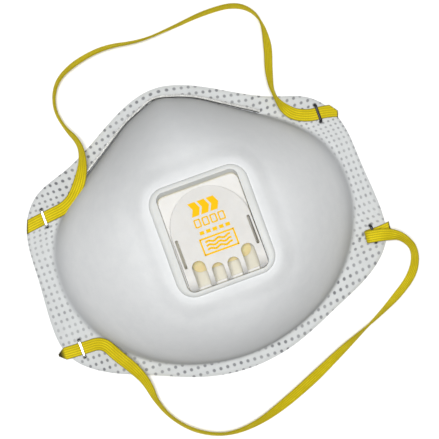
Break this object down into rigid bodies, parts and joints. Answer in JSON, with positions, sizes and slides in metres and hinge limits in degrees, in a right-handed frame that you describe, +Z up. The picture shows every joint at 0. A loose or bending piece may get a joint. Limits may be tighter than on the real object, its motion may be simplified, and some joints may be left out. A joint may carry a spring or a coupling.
{
  "type": "disposable dust mask",
  "caption": "Moulded cup dust mask with a bonded flange, nose clip, stapled elastic straps and a one-way exhalation valve.",
  "frame": {"origin": "centre of the cup's flange, in the plane it lies on", "axes": "+Z up out of the valve, +Y towards the nose, +X to the right seen from the front"},
  "size_m": [0.1506, 0.1669, 0.0593],
  "materials": {
    "cover_web": "smooth thermobonded nonwoven, matte",
    "filter_web": "soft blown microfibre",
    "shell_web": "stiff moulded fibre web",
    "lining_web": "soft nonwoven, dot bonded",
    "clip_metal": "bare rolled strip",
    "foam": "open-cell foam",
    "elastic": "ribbed braided elastic",
    "staple_wire": "bright flat wire",
    "valve_plastic": "moulded, satin",
    "flap_rubber": "thin calendered sheet"
  },
  "bodies": {
    "mask": {"outer_cover_web": "cover_web", "filter_media": "filter_web", "shaping_shell": "shell_web", "inner_lining": "lining_web", "nose_clip": "clip_metal", "nose_foam": "foam", "head_strap": "elastic", "neck_strap": "elastic", "staple_upper_left": "staple_wire", "staple_upper_right": "staple_wire", "staple_lower_left": "staple_wire", "staple_lower_right": "staple_wire", "valve_seat": "valve_plastic", "valve_cover": "valve_plastic"},
    "flap": {"valve_flap": "flap_rubber"}
  },
  "joints": [
    {"name": "flap_hinge", "type": "hinge", "parent": "mask", "child": "flap", "pos_m": [0, 0.0104, 0.05195], "axis": [-1, 0, 0], "range_deg": [0, 11], "stiffness_Nm_per_rad": 0.0002, "springref_deg": -5.73}
  ]
}
